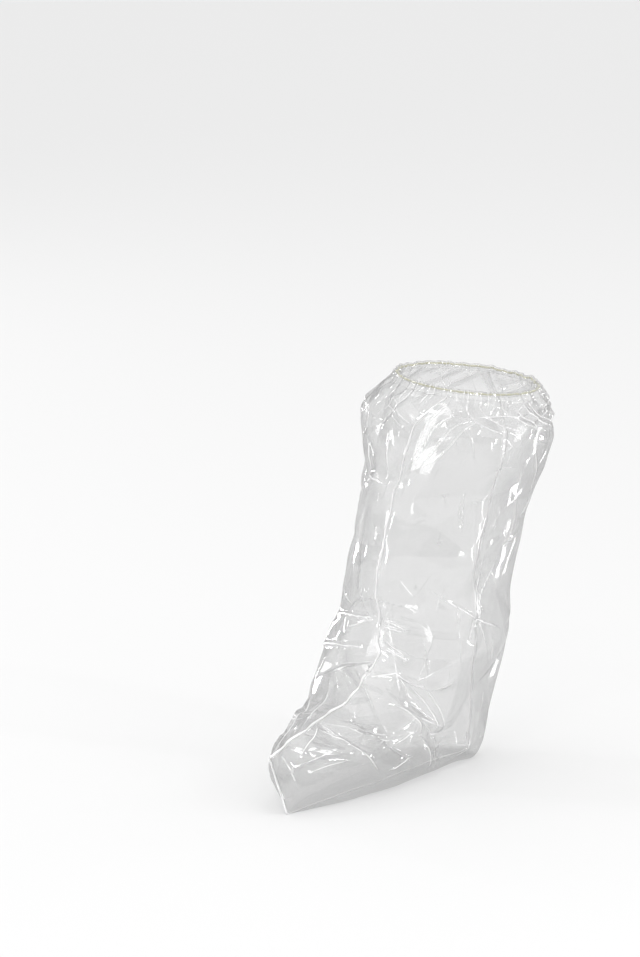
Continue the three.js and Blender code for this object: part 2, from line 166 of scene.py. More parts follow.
@dataclass
class BagForm:
    """The smooth form of the bag, before gathers and folds.

    A place counts sections from the hem (0) to the toe. A share runs from the front seam (0) to the back or
    sole seam (1) at equal lengths along the film.
    """

    seam_offset: float = 0.35
    steps: int = 600
    sole: float = 0.3
    sway: float = 1.1
    sway_fade: float = 2.0
    front_waves: Waves = ((1.0, 2.3, 0.0), (0.6, 5.1, 1.0))
    back_waves: Waves = ((1.0, 1.9, 2.0), (0.6, 4.3, 0.0))
    rows: np.ndarray = field(init=False)

    def __post_init__(self) -> None:
        """Gathers the tables into one array."""
        self.rows = np.array([section.row() for section in LEG + FOOT])

    @property
    def last(self) -> int:
        """The place of the toe."""
        return len(self.rows) - 1

    def at(self, places: np.ndarray) -> np.ndarray:
        """Sections between the tables' rows, by a smooth cubic through each row's numbers.

        Both seams sway a little to the sides by sines of the place.

        Args:
            places: section numbers, whole or not.

        Returns:
            One row of section numbers for each place.
        """
        start = np.minimum(np.floor(places).astype(int), self.last - 1)
        t = (places - start)[:, None]
        a, b, c, d = (self.rows[np.clip(start + step, 0, self.last)] for step in (-1, 0, 1, 2))
        ease = t * t * (3 - 2 * t)
        found = b + (c - b) * ease + t * (1 - t) * ((1 - t) * (c - a) - t * (d - b)) / 2
        loose = np.clip(np.minimum(places, self.last - places) / self.sway_fade, 0, 1)
        found[:, FRONT.start] += self.sway * loose * swing(places, self.front_waves)
        found[:, BACK.start] += self.sway * loose * swing(places, self.back_waves)
        return found

    def half(self, places: np.ndarray, shares: np.ndarray, side: Side) -> tuple[np.ndarray, np.ndarray]:
        """One film's surface. The half width is (1 - q^2)^point, with q from -1 to 1 across the section.

        Args:
            places: section numbers, one for each row of the grid.
            shares: shares of the film's width, one for each column.
            side: the film's side.

        Returns:
            Points (rows, columns, 3), and each row's length from seam to seam.
        """
        section = self.at(places)[:, None, :]
        front, back, across = section[..., FRONT], section[..., BACK], section[..., ACROSS]
        width, widest = np.moveaxis(section[..., WIDTHS[side]], -1, 0)
        q = -np.cos(np.pi * np.linspace(0, 1, self.steps + 1))[None, :]
        point = np.where(q < 0, *np.moveaxis(section[..., POINTS], -1, 0))
        share = np.where(q < 0, widest * (1 + q), widest + (1 - widest) * q)
        reach = self.seam_offset + width * np.maximum(1 - q * q, 0) ** point
        trace = front + (back - front) * share[..., None] + side * across * reach[..., None]
        trace[..., 2] = np.maximum(trace[..., 2], self.sole)
        return even_lengths(trace, shares)


def swing(steps: np.ndarray, waves: Waves) -> np.ndarray:
    """A sum of sines of the steps, each with its height, rate and start in radians."""
    return sum(height * np.sin(rate * steps + start) for height, rate, start in waves)


def walk(points: np.ndarray) -> np.ndarray:
    """Lengths along a path of points (n, 3), from 0 at its start."""
    return np.concatenate(((0,), np.cumsum(np.linalg.norm(np.diff(points, axis=0), axis=1))))


def along_path(wanted: np.ndarray, walked: np.ndarray, values: np.ndarray) -> np.ndarray:
    """Values (n, 3) that are known at walked lengths, at the wanted lengths."""
    return np.stack([np.interp(wanted, walked, values[:, axis]) for axis in range(3)], axis=-1)


def even_lengths(trace: np.ndarray, shares: np.ndarray) -> tuple[np.ndarray, np.ndarray]:
    """Resamples each row of points at given shares of its length.

    Args:
        trace: points (rows, steps, 3).
        shares: shares of a row's length, from 0 to 1.

    Returns:
        Points (rows, shares, 3), and the rows' lengths.
    """
    pieces = np.linalg.norm(np.diff(trace, axis=1), axis=2)
    lengths = np.concatenate((np.zeros((len(trace), 1)), np.cumsum(pieces, axis=1)), axis=1)
    total = lengths[:, -1]
    apart = 2.0 * np.arange(len(trace))[:, None]
    ladder = (lengths / total[:, None] + apart).ravel()
    wanted = (shares[None, :] + apart).ravel()
    points = along_path(wanted, ladder, trace.reshape(-1, 3))
    return points.reshape(len(trace), len(shares), 3), total


def unit(vectors: np.ndarray) -> np.ndarray:
    """Vectors scaled to length 1."""
    return vectors / np.maximum(np.linalg.norm(vectors, axis=-1, keepdims=True), 1e-9)


def grid_normals(points: np.ndarray, side: Side) -> np.ndarray:
    """Outward normals of a film's grid: along crossed with across, turned to the film's side.

    Args:
        points: the grid's points (rows, columns, 3).
        side: the film's side.

    Returns:
        Unit normals (rows, columns, 3).
    """
    along = np.gradient(points, axis=0)
    across = np.gradient(points, axis=1)
    return unit(side * np.cross(along, across))


def soften(points: np.ndarray, passes: int) -> np.ndarray:
    """Rounds sharp edges of a grid: each point goes half way to the mean of its four neighbours.

    Args:
        points: the grid's points (rows, columns, 3).
        passes: how often it is done.

    Returns:
        The rounded grid, with its border as it was.
    """
    points = points.copy()
    for _ in range(passes):
        beside = points[:-2, 1:-1] + points[2:, 1:-1] + points[1:-1, :-2] + points[1:-1, 2:]
        points[1:-1, 1:-1] = points[1:-1, 1:-1] / 2 + beside / 8
    return points


# Folds of the films


@dataclass(frozen=True)
class Fold:
    """A fold of a film, from one (share, place) to another.

    Its depth is outward above 0. The crest is the share of its length at which it is deepest, lean makes one
    flank wider than the other, and bow is how far its middle swings out sideways.
    """

    side: Side
    start: tuple[float, float]
    end: tuple[float, float]
    width: float
    depth: float
    form: Form = Form.SHARP
    crest: float = 0.5
    lean: float = 0.0
    bow: float = 0.0

    RISE_POWER = 0.7

    def push(self, film: "FilmGrid") -> np.ndarray:
        """How far the fold moves each point of a film, in millimetres.

        A soft fold falls off as exp(-(distance/width)^2), a sharp one as exp(-distance/width) with its tip
        rounded. Along the fold the depth rises from both ends to the crest.

        Args:
            film: the grid that the fold is on.

        Returns:
            Outward moves (rows, columns).
        """
        run = np.array(self.end) - np.array(self.start)
        scale = np.array((film.WIDTH, film.PITCH))
        across = film.share - self.start[0]
        along = film.place - self.start[1]
        flat = run * scale
        length = np.hypot(*flat)
        t = np.clip((across * scale[0] * flat[0] + along * scale[1] * flat[1]) / length**2, 0, 1)
        off_across = (across - t * run[0]) * film.row_width
        off_along = (along - t * run[1]) * film.row_pitch
        sideways = (off_across * flat[1] - off_along * flat[0]) / length - 4 * self.bow * t * (1 - t)
        beyond = (off_across * flat[0] + off_along * flat[1]) / length
        away = np.hypot(sideways, beyond)
        if self.form is Form.SOFT:
            return self.depth * np.exp(-((away / self.width) ** 2))
        width = self.width * (1 + self.lean * np.sign(sideways))
        rounded = np.hypot(away, film.TIP) - film.TIP
        rise = np.where(t < self.crest, t / max(self.crest, 1e-3), (1 - t) / max(1 - self.crest, 1e-3))
        return self.depth * np.clip(rise, 0, 1) ** self.RISE_POWER * np.exp(-rounded / width)


def swells(side: Side, *rows: tuple[float, ...]) -> tuple[Fold, ...]:
    """A side's soft folds, from rows of start (share, place), end (share, place), width and depth."""
    return tuple(Fold(side, row[:2], row[2:4], *row[4:], form=Form.SOFT) for row in rows)


# Main folds, as in the solid films
MAIN_FOLDS = swells(
    OUTER,
    (0.10, 1.4, 0.52, 1.2, 9, -3.0),
    (0.42, 2.2, 0.57, 5.0, 10, 4.5),
    (0.33, 2.4, 0.36, 4.0, 9, -3.5),
    (0.40, 6.0, 0.43, 9.0, 11, -6.0),
    (0.16, 7.3, 0.42, 9.0, 10, -5.0),
    (0.58, 5.9, 0.47, 8.8, 10, 4.5),
    (0.43, 9.0, 0.66, 9.5, 10, -6.0),
    (0.04, 9.1, 0.30, 9.4, 8, -4.5),
    (0.10, 12.3, 0.36, 11.8, 8, 4.0),
    (0.15, 12.5, 0.50, 14.0, 9, -4.5),
    (0.60, 12.3, 0.80, 15.2, 9, 4.0),
    (0.16, 17.8, 0.58, 16.4, 9, 3.5),
    (0.28, 15.6, 0.60, 15.6, 9, -4.0),
) + swells(
    INNER,
    (0.22, 2.6, 0.15, 4.2, 10, -4.0),
    (0.45, 2.4, 0.55, 5.2, 10, 4.5),
    (0.05, 8.8, 0.36, 9.4, 9, -5.0),
    (0.46, 5.8, 0.52, 9.0, 11, -5.5),
    (0.52, 9.0, 0.78, 9.4, 10, -5.5),
    (0.20, 10.4, 0.34, 15.0, 11, 4.5),
    (0.42, 10.6, 0.60, 14.0, 11, -5.0),
    (0.66, 12.0, 0.80, 14.8, 9, 4.0),
    (0.22, 17.6, 0.56, 16.2, 9, 3.5),
)

# Low bulges across the front of the leg, whose upper sides catch the light
BULGES = swells(OUTER, (0.02, 4.25, 0.13, 4.25, 15, 5.0)) + swells(INNER, (0.02, 4.35, 0.24, 4.35, 15, 5.5))

# Pinched lines that show bright: below the hem, round the two ankle pockets, over the instep and at the toe
# Their sharp bends also get the crease mark: stress whitening and a painted highlight
PINCHES = (
    Fold(OUTER, (0.12, 1.32), (0.46, 1.10), 5, 3.0, lean=0.4),
    Fold(OUTER, (0.09, 1.20), (0.025, 3.80), 5, 3.6, crest=0.3, lean=0.5),
    Fold(OUTER, (0.15, 1.50), (0.055, 3.60), 5, -3.0, crest=0.4),
    Fold(OUTER, (0.19, 1.60), (0.10, 3.40), 4, 2.2, crest=0.4),
    Fold(OUTER, (0.43, 2.2), (0.57, 5.1), 4, 2.2),
    Fold(OUTER, (0.41, 3.2), (0.50, 4.9), 4, 1.6),
    Fold(OUTER, (0.33, 2.4), (0.355, 3.6), 4, 1.5),
    Fold(OUTER, (0.40, 6.0), (0.42, 9.0), 4, 2.4, crest=0.9),
    Fold(OUTER, (0.475, 6.2), (0.425, 9.0), 4, 2.6, crest=0.9, lean=0.3),
    Fold(OUTER, (0.58, 5.8), (0.475, 6.3), 4, 1.6),
    Fold(OUTER, (0.155, 7.3), (0.42, 9.05), 4, 2.4, crest=0.85),
    Fold(OUTER, (0.42, 9.0), (0.58, 9.5), 5, 2.8, crest=0.1),
    Fold(OUTER, (0.42, 9.05), (0.50, 10.6), 4, 1.8, crest=0.1),
    Fold(OUTER, (0.005, 9.05), (0.12, 9.55), 4, 3.6, crest=0.15, lean=0.3),
    Fold(OUTER, (0.005, 9.45), (0.11, 9.65), 3, 2.4, crest=0.3),
    Fold(OUTER, (0.01, 9.9), (0.115, 11.4), 3, 1.8),
    Fold(OUTER, (0.115, 11.4), (0.01, 10.9), 3, 1.6, crest=0.1),
    Fold(OUTER, (0.01, 13.0), (0.12, 12.1), 3, 1.8),
    Fold(OUTER, (0.10, 12.3), (0.285, 12.4), 3, 2.0, crest=0.3),
    Fold(OUTER, (0.285, 12.4), (0.37, 11.7), 3, 1.7),
    Fold(OUTER, (0.15, 12.4), (0.505, 14.0), 4, 2.2, crest=0.7, bow=5),
    Fold(OUTER, (0.51, 13.95), (0.85, 15.42), 4, 3.2, crest=0.3, bow=-6),
    Fold(OUTER, (0.20, 12.2), (0.56, 13.8), 4, -1.8, crest=0.7, bow=5),
    Fold(OUTER, (0.56, 13.8), (0.88, 15.1), 4, -2.2, crest=0.3, bow=-6),
    Fold(OUTER, (0.16, 13.92), (0.435, 14.52), 4, 2.4, crest=0.7, bow=6),
    Fold(OUTER, (0.435, 14.52), (0.84, 15.46), 4, 3.0, crest=0.3, bow=-6),
    Fold(OUTER, (0.64, 12.5), (0.86, 15.4), 5, 2.0),
    Fold(OUTER, (0.03, 17.0), (0.60, 16.9), 4, 2.2, crest=0.3, bow=1),
    Fold(OUTER, (0.02, 16.7), (0.42, 17.3), 4, 1.8, crest=0.2, bow=4),
    Fold(OUTER, (0.03, 16.9), (0.20, 18.6), 4, 1.6, crest=0.2),
    Fold(OUTER, (0.02, 19.05), (0.90, 19.35), 5, 3.4, crest=0.3),
    Fold(INNER, (0.225, 2.5), (0.150, 4.1), 8, 4.6, crest=0.6, lean=0.3, bow=-3),
    Fold(INNER, (0.155, 4.05), (0.02, 4.2), 7, 4.4, crest=0.3),
    Fold(INNER, (0.10, 2.2), (0.045, 4.0), 4, 2.6),
    Fold(INNER, (0.005, 9.05), (0.36, 9.4), 4, 3.6, crest=0.15, lean=0.3),
    Fold(INNER, (0.005, 9.1), (0.20, 9.9), 4, 3.2, crest=0.15),
    Fold(INNER, (0.32, 8.1), (0.145, 8.75), 3, 1.8),
    Fold(INNER, (0.08, 10.9), (0.46, 11.2), 4, 2.2, lean=0.4),
    Fold(INNER, (0.52, 9.0), (0.48, 5.8), 5, 2.6, crest=0.1),
    Fold(INNER, (0.52, 9.0), (0.78, 9.5), 5, 2.4, crest=0.1),
    Fold(INNER, (0.52, 9.0), (0.40, 10.6), 4, 2.0, crest=0.1),
    Fold(INNER, (0.30, 13.6), (0.08, 19.0), 4, 2.2, crest=0.6),
    Fold(INNER, (0.44, 14.4), (0.18, 19.2), 4, 2.0, crest=0.6),
    Fold(INNER, (0.18, 12.6), (0.04, 17.6), 4, 1.8),
    Fold(INNER, (0.60, 13.2), (0.82, 15.4), 4, 2.0),
)


@dataclass
class Crumple:
    """Slack film's own unrest: it buckles into flat facets with sharp edges, and has short stray creases.

    Facets have a width on the leg and one on the foot. Creases have ranges of shares, reach and width, and
    room at the hem and the toe.
    """

    facets: tuple[float, float] = (42.0, 25.0)
    leg_end: float = 290.0
    stretch: float = 1.35
    scatter: float = 0.4
    spare: float = 0.03
    unrest: float = 1.6
    rounds: int = 300
    overdraw: float = 1.4
    limit: float = 6.0
    flatness: float = 0.5
    creases: int = 46
    crease_shares: tuple[float, float] = (0.04, 0.96)
    crease_room: tuple[float, float] = (1.2, 0.6)
    crease_turn: float = 0.7
    crease_reach: tuple[float, float] = (18.0, 70.0)
    crease_width: tuple[float, float] = (2.0, 4.5)
    crease_depth: float = 1.3
    crease_least: float = 0.35
    crease_bow: float = 0.12
    seed: int = 7

    def spots(self, film: "FilmGrid", draw: np.random.Generator) -> np.ndarray:
        """Scatters points over the film, wider apart on the leg than on the foot.

        Args:
            film: the grid to cover.
            draw: the source of chance.

        Returns:
            Row and column of each point on the grid, (points, 2). The film's edges have points too.
        """
        found, along, walked = [], 0.0, film.along[:, 0]
        while along < walked[-1]:
            size = self.facets[0] if along < self.leg_end else self.facets[1]
            row = int(np.searchsorted(walked, along))
            count = max(int(film.row_width[row, 0] / size), 1)
            shares = (np.arange(count + 1) + draw.uniform(-self.scatter, self.scatter, count + 1)) / count
            shares[0], shares[-1] = 0, 1
            shift = draw.uniform(-self.scatter, self.scatter, count + 1) * size * self.stretch * (0 < along)
            rows = np.clip(np.searchsorted(walked, along + shift), 0, film.rows - 1)
            columns = np.round(np.clip(shares, 0, 1) * (film.columns - 1)).astype(int)
            found.append(np.stack((rows, columns), axis=-1))
            along += size * self.stretch
        found.append(np.array(((film.rows - 1, 0), (film.rows - 1, film.columns - 1))))
        return np.unique(np.concatenate(found), axis=0)

    def buckle(self, film: "FilmGrid", points: np.ndarray, normals: np.ndarray) -> np.ndarray:
        """Lets the film crumple.

        Scattered points start a little off the film. Each two neighbours are drawn to the distance that the
        slack film gives them, again and again. Between three points the film is then flat, or partly so.

        Args:
            film: the film's grid, which gives the distances.
            points: the film's points with its soft folds (rows, columns, 3).
            normals: the film's normals.

        Returns:
            The crumpled film's points.
        """
        draw = np.random.default_rng(self.seed + film.side)
        row, column = self.spots(film, draw).T
        flat = np.stack(((film.share - 0.5) * film.row_width, film.along), axis=-1)
        corners = flat[row, column]
        faces = np.array(geometry.delaunay_2d_cdt([Vector(spot) for spot in corners], [], [], 0, 1e-6)[2])
        edges = np.concatenate((faces[:, :2], faces[:, 1:], faces[:, ::2]))
        pairs = np.unique(np.sort(edges, axis=1), axis=0)
        first, second = pairs.T
        smooth = film.points[row, column]
        rest = np.linalg.norm(smooth[first] - smooth[second], axis=1) * (1 + self.spare)
        held = (column == 0) | (column == film.columns - 1) | (row == 0) | (row == film.rows - 1)
        free = np.where(held, 0, 1)[:, None]
        start, out = points[row, column], normals[row, column]
        moved = start + out * draw.normal(0, self.unrest, (len(row), 1)) * free
        links = np.bincount(pairs.ravel(), minlength=len(row))[:, None]
        for _ in range(self.rounds):
            run = moved[second] - moved[first]
            pull = run * (1 - rest / np.maximum(np.linalg.norm(run, axis=1), 1e-6))[:, None] / 2
            total = np.zeros_like(moved)
            np.add.at(total, first, pull)
            np.add.at(total, second, -pull)
            moved = moved + self.overdraw * total / links * free
        moves = moved - start
        height = np.sum(moves * out, axis=1, keepdims=True)
        moves = moves + out * (np.clip(height, -self.limit, self.limit) - height)
        return self.carry(flat, corners, faces, points, start + moves, moves)

    def carry(self, flat: np.ndarray, corners: np.ndarray, faces: np.ndarray, points: np.ndarray,
              ends: np.ndarray, moves: np.ndarray) -> np.ndarray:
        """Carries the scattered points' moves over to the whole grid, on straight lines within each triangle.

        Args:
            flat: each grid point's place on the flat film.
            corners: each scattered point's place on the flat film.
            faces: the triangles between scattered points.
            points: the grid's points.
            ends: where the scattered points end.
            moves: how far the scattered points moved.

        Returns:
            The moved grid: each point is drawn by flatness towards its triangle's plane.
        """
        result = points.copy()
        for face in faces:
            a, b, c = corners[face]
            low, high = corners[face].min(axis=0), corners[face].max(axis=0)
            near = np.nonzero(np.all((flat >= low) & (flat <= high), axis=-1))
            off, ab, ac = flat[near] - a, b - a, c - a
            area = ab[0] * ac[1] - ab[1] * ac[0]
            u = (off[:, 0] * ac[1] - off[:, 1] * ac[0]) / area
            v = (ab[0] * off[:, 1] - ab[1] * off[:, 0]) / area
            inside = (u >= 0) & (v >= 0) & (u + v <= 1)
            here = (near[0][inside], near[1][inside])
            weights = np.stack((1 - u - v, u, v), axis=-1)[inside]
            carried = points[here] + weights @ moves[face]
            result[here] = carried + (weights @ ends[face] - carried) * self.flatness
        return result

    def strays(self, film: "FilmGrid") -> list[Fold]:
        """Draws short creases in seeded places, mostly along the film's length.

        Args:
            film: the grid that they are on.

        Returns:
            The creases, as sharp folds.
        """
        draw = np.random.default_rng(self.seed + 10 * film.side + 20)
        at_hem, at_toe = self.crease_room
        folds = []
        for _ in range(self.creases):
            share = draw.uniform(*self.crease_shares)
            place = draw.uniform(at_hem, film.form.last - at_toe)
            turn = draw.normal(0, self.crease_turn)
            reach = draw.uniform(*self.crease_reach)
            end = (share + math.sin(turn) * reach / film.WIDTH, place + math.cos(turn) * reach / film.PITCH)
            depth = draw.uniform(self.crease_least, 1) * self.crease_depth * draw.choice((-1, 1))
            folds.append(Fold(film.side, (share, place), end, draw.uniform(*self.crease_width), depth,
                              crest=draw.uniform(), bow=draw.normal(0, self.crease_bow) * reach))
        return folds


@dataclass(frozen=True)
class Pleats:
    """A run of pleats: how many on a side, how deep, where below the hem they are full and end, and slant."""

    folds: int
    depth: float
    full: tuple[float, float]
    end: float
    at_hem: float
    slant: float = 0.0


@dataclass
class Gathers:
    """Film gathered by the elastic: small pleats at the hem run together into fewer and wider ones below.

    Plumb is the pleats' shift for each millimetre above and below its turn. Spacing and heights are ranges.
    """

    sizes: tuple[Pleats, ...] = (
        Pleats(folds=34, depth=2.0, full=(0.0, 4.0), end=11.0, at_hem=1.0),
        Pleats(folds=15, depth=3.2, full=(5.0, 20.0), end=42.0, at_hem=0.35, slant=0.0040),
        Pleats(folds=15, depth=3.2, full=(5.0, 20.0), end=42.0, at_hem=0.35, slant=-0.0040),
        Pleats(folds=9, depth=3.6, full=(20.0, 40.0), end=78.0, at_hem=0.1),
    )
    plumb: tuple[float, float] = (0.0034, 0.0011)
    plumb_turn: float = 30.0
    waver: float = 0.0010
    waver_pleats: float = 4.7
    waver_start: float = 6.0
    spacing: tuple[float, float] = (0.5, 1.5)
    heights: tuple[float, float] = (0.25, 1.35)
    seed: int = 3

    def push(self, side: Side, share: np.ndarray, below: np.ndarray) -> np.ndarray:
        """How far the gathered film stands out.

        Each run of pleats is a zigzag across the film, straight between turning points with seeded places and
        heights, faded in and out below the hem. They hang plumb on the twisted bag, and runs that slant both
        ways leave diamonds between them.

        Args:
            side: the film's side.
            share: share of the film's width at each point.
            below: depth of each point below the hem in millimetres.

        Returns:
            Outward moves in millimetres, of the arrays' common shape.
        """
        draw = np.random.default_rng(self.seed + side)
        upper, lower = np.minimum(below, self.plumb_turn), np.maximum(below - self.plumb_turn, 0)
        plumb = side * (self.plumb[0] * upper + self.plumb[1] * lower)
        total = 0.0
        for size in self.sizes:
            turns = np.cumsum(draw.uniform(*self.spacing, size.folds + 1))
            turns = (turns - turns[0]) / (turns[-1] - turns[0])
            heights = size.depth * draw.uniform(*self.heights, size.folds + 1)
            heights[::2] *= -1
            start = draw.uniform(0, self.waver_start)
            lean = np.sin(np.pi * size.folds * share / self.waver_pleats + start)
            zigzag = np.interp(share + (size.slant + self.waver * lean) * below - plumb, turns, heights)
            fade = np.interp(below, (0.0, *size.full, size.end), (size.at_hem, 1.0, 1.0, 0.0))
            total = total + zigzag * fade
        return total * held_at_welds(share)


WELD_HOLD = 0.1


def held_at_welds(share: np.ndarray) -> np.ndarray:
    """0 at a film's two welds, and 1 from a few millimetres away from them."""
    return np.clip(np.sin(np.pi * share) / WELD_HOLD, 0, 1)


LEAST_SPAN = 0.1


def sharpness(points: np.ndarray, normals: np.ndarray) -> np.ndarray:
    """How sharply a film is bent at each point, in 1/mm: its largest second difference over length squared.

    Args:
        points: the film's points (rows, columns, 3).
        normals: its normals.

    Returns:
        Bends (rows, columns).
    """
    wide = np.pad(points, ((1, 1), (1, 1), (0, 0)), mode="edge")
    rows, columns = points.shape[:2]
    found = np.zeros((rows, columns))
    for down, over in ((0, 1), (1, 0), (1, 1), (1, -1)):
        after = wide[1 + down:1 + down + rows, 1 + over:1 + over + columns]
        before = wide[1 - down:1 - down + rows, 1 - over:1 - over + columns]
        bend = np.abs(np.sum((after + before - 2 * points) * normals, axis=-1))
        span = np.sum((after - before) ** 2, axis=-1) / 4
        found = np.maximum(found, bend / np.maximum(span, LEAST_SPAN))
    found[0], found[-1], found[:, 0], found[:, -1] = 0, 0, 0, 0
    return found


# Meshes


def put_mesh(name: str, points: np.ndarray, faces: np.ndarray, uv: np.ndarray | None = None,
             marks: dict[str, np.ndarray] | None = None) -> bpy.types.Object:
    """Makes an object from arrays, with its place in its mesh.

    Args:
        name: the piece's name.
        points: points (n, 3) in millimetres from the floor under the leg.
        faces: corner numbers (m, 4).
        uv: a place on the flat film for each point, in metres.
        marks: named values from 0 to 1 for the finish, one for each point.

    Returns:
        The new object, shaded smooth.
    """
    mesh = bpy.data.meshes.new(name)
    mesh.from_pydata((points - RIM) * MM, [], faces)
    mesh.polygons.foreach_set("use_smooth", np.ones(len(faces), bool))
    if uv is not None:
        layer = mesh.uv_layers.new(name="flat_film")
        layer.data.foreach_set("uv", uv[faces.ravel()].astype(np.float32).ravel())
    for mark, values in (marks or {}).items():
        attribute = mesh.attributes.new(mark, "FLOAT", "POINT")
        attribute.data.foreach_set("value", values.astype(np.float32).ravel())
    mesh.update()
    piece = bpy.data.objects.new(name, mesh)
    bpy.context.scene.collection.objects.link(piece)
    return piece


def grid_faces(rows: int, columns: int, ring: bool = False, tube: bool = False,
               flip: bool = False) -> np.ndarray:
    """Corner numbers of a grid's quads.

    Args:
        rows: rows of points.
        columns: columns of points.
        ring: whether the last row joins the first.
        tube: whether the last column joins the first.
        flip: whether the faces turn the other way.

    Returns:
        Corner numbers (quads, 4).
    """
    spans = rows if ring else rows - 1
    here = np.arange(spans)[:, None] * columns
    below = (np.arange(1, spans + 1) % rows)[:, None] * columns
    corner = np.arange(columns if tube else columns - 1)[None, :]
    onward = (corner + 1) % columns
    faces = np.stack((here + corner, below + corner, below + onward, here + onward), axis=-1).reshape(-1, 4)
    return faces[:, ::-1] if flip else faces


def flat_uv(across: np.ndarray, along: np.ndarray) -> np.ndarray:
    """Places on the flat film (points, 2) in metres, for a grid with these millimetres across and along."""
    return np.stack(np.meshgrid(across, along), axis=-1).reshape(-1, 2) * MM


def thicken(piece: bpy.types.Object, thickness: float) -> None:
    """Gives a sheet its thickness, half to each side.

    Args:
        piece: the sheet.
        thickness: its thickness in millimetres.
    """
    wall = piece.modifiers.new("thickness", "SOLIDIFY")
    wall.thickness = thickness * MM
    wall.offset = 0.0


def stand_for(piece: bpy.types.Object, finish: bpy.types.Material, node: str) -> None:
    """Gives a piece its finish, and says what carries it and what it stands for.

    Args:
        piece: the piece.
        finish: its material.
        node: the solid that it stands for.
    """
    piece.data.materials.append(finish)
    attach(piece, BODY)
    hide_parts(node)


@dataclass
class FilmGrid:
    """The grid of one film: its shares, places and lengths.

    WIDTH and PITCH are a film's usual width and length between sections. TIP rounds a sharp fold's crest.
    """

    form: BagForm
    side: Side
    columns: int = 221
    rows: int = 437

    WIDTH = 270.0
    PITCH = 31.0
    TIP = 0.4
    FINE = 400

    def __post_init__(self) -> None:
        """Lays out rows at equal lengths down the middle of the film."""
        fine = np.linspace(0, self.form.last, self.FINE)
        middle = self.form.half(fine, np.array((0.5,)), self.side)[0][:, 0]
        walked = walk(middle)
        evenly = np.linspace(0, walked[-1], self.rows)
        self.places = np.interp(evenly, walked, fine)
        self.shares = np.linspace(0, 1, self.columns)
        self.share, self.place = np.meshgrid(self.shares, self.places)
        self.points, widths = self.form.half(self.places, self.shares, self.side)
        self.row_width = widths[:, None]
        self.row_pitch = np.gradient(evenly, self.places)[:, None]
        self.across = self.share * self.row_width
        self.along = np.repeat(evenly[:, None], self.columns, axis=1)
        self.half_width = self.form.at(self.places)[:, WIDTHS[self.side]][:, :1]
        self.below = np.clip(HEM_FOOT - self.points[:, :1, 2], 0, None)


@dataclass
class Film:
    """One of the two films, from the hem to the sole and the toe.

    Folds fade near the floor, near the hem and where there is little room. Calm is the crumple's start below
    the hem and the length over which it grows, and slack its share at places along the film.
    """

    form: BagForm
    gathers: Gathers
    crumple: Crumple
    side: Side
    wall_middle: float = 0.5
    sole_fade: float = 20.0
    hem_fade: float = 12.0
    room: float = 26.0
    calm: tuple[float, float] = (8.0, 40.0)
    slack: tuple[tuple[float, ...], tuple[float, ...]] = ((1.0, 3.0, 7.5, 9.5, 15.5, 18.0),
                                                          (1.0, 0.6, 0.6, 1.0, 1.0, 0.4))
    facet_softening: int = 2
    base_softening: int = 6
    pinch: float = 1.35
    # Bends over which the crease mark grows: the film's stress whitening and a painted highlight
    crease_whitening_and_highlight_bends: tuple[float, float] = (0.12, 0.60)

    @property
    def name(self) -> str:
        """The film's name, as in the solid part."""
        return "left_panel" if self.side is OUTER else "right_panel"

    def moved(self, film: FilmGrid, off_floor: np.ndarray) -> np.ndarray:
        """Moves the bag's form out along its normals by soft folds, crumple, sharp folds and gathers.

        Soft folds that overlap count once, by the deepest of each sign. Sharp ones add up.

        Args:
            film: the film's grid.
            off_floor: 0 where the bag rests on the floor, and 1 well above it.

        Returns:
            The film's points (rows, columns, 3).
        """
        roomy = np.clip(film.half_width / self.room, 0, 1)
        below_hem = np.clip(film.below / self.hem_fade, 0, 1)
        hold = (held_at_welds(film.share) * off_floor * roomy * below_hem)[..., None]
        soft = [fold.push(film) for fold in MAIN_FOLDS + BULGES if fold.side is self.side]
        swells = np.max([*soft, 0 * soft[0]], axis=0) + np.min([*soft, 0 * soft[0]], axis=0)
        normals = grid_normals(film.points, self.side)
        points = film.points + normals * swells[..., None] * hold
        crumpled = soften(self.crumple.buckle(film, points, normals), self.facet_softening)
        starts, grows = self.calm
        slack = np.interp(film.place, *self.slack)
        loose = (np.clip((film.below - starts) / grows, 0, 1) * off_floor * roomy * slack)[..., None]
        points = points + (crumpled - points) * loose
        sharp = [fold.push(film) for fold in PINCHES if fold.side is self.side]
        sharp += [fold.push(film) for fold in self.crumple.strays(film)]
        out = grid_normals(soften(points, self.base_softening), self.side)
        pinch = self.pinch * np.sum(sharp, axis=0)
        points = points + out * pinch[..., None] * hold + normals * self.wall_middle
        level = unit(normals * (1, 1, 0))
        points = points + level * self.gathers.push(self.side, film.share, film.below)[..., None]
        points[..., 2] = np.maximum(points[..., 2], self.form.sole)
        return points

    def build(self) -> bpy.types.Object:
        """Works out the film, and marks its creases (whitening and painted highlight) and where it rests on
        the floor.

        Returns:
            The film's object.
        """
        film = FilmGrid(self.form, self.side)
        off_floor = np.clip((film.points[..., 2] - self.form.sole) / self.sole_fade, 0, 1)
        points = self.moved(film, off_floor)
        bends = sharpness(points, grid_normals(points, self.side))
        # Crease mark on sharp bends: partly stress whitening, partly a painted highlight in the finish
        crease_whitening_and_painted_highlight = np.interp(bends, self.crease_whitening_and_highlight_bends, (0.0, 1.0)) * np.sqrt(off_floor)
        uv = np.stack((film.across, film.along), axis=-1).reshape(-1, 2) * MM
        faces = grid_faces(film.rows, film.columns, flip=self.side is INNER)
        # rests marks where the film lies on the floor, where the finish lifts its painted edge shade
        marks = {"crease_whitening_and_painted_highlight": crease_whitening_and_painted_highlight, "rests": 1 - off_floor}
        return put_mesh(f"{self.name}_film", points.reshape(-1, 3), faces, uv, marks)

    def dress(self, piece: bpy.types.Object, finish: bpy.types.Material) -> None:
        """Gives the film its finish and says what it stands for."""
        stand_for(piece, finish, self.name)


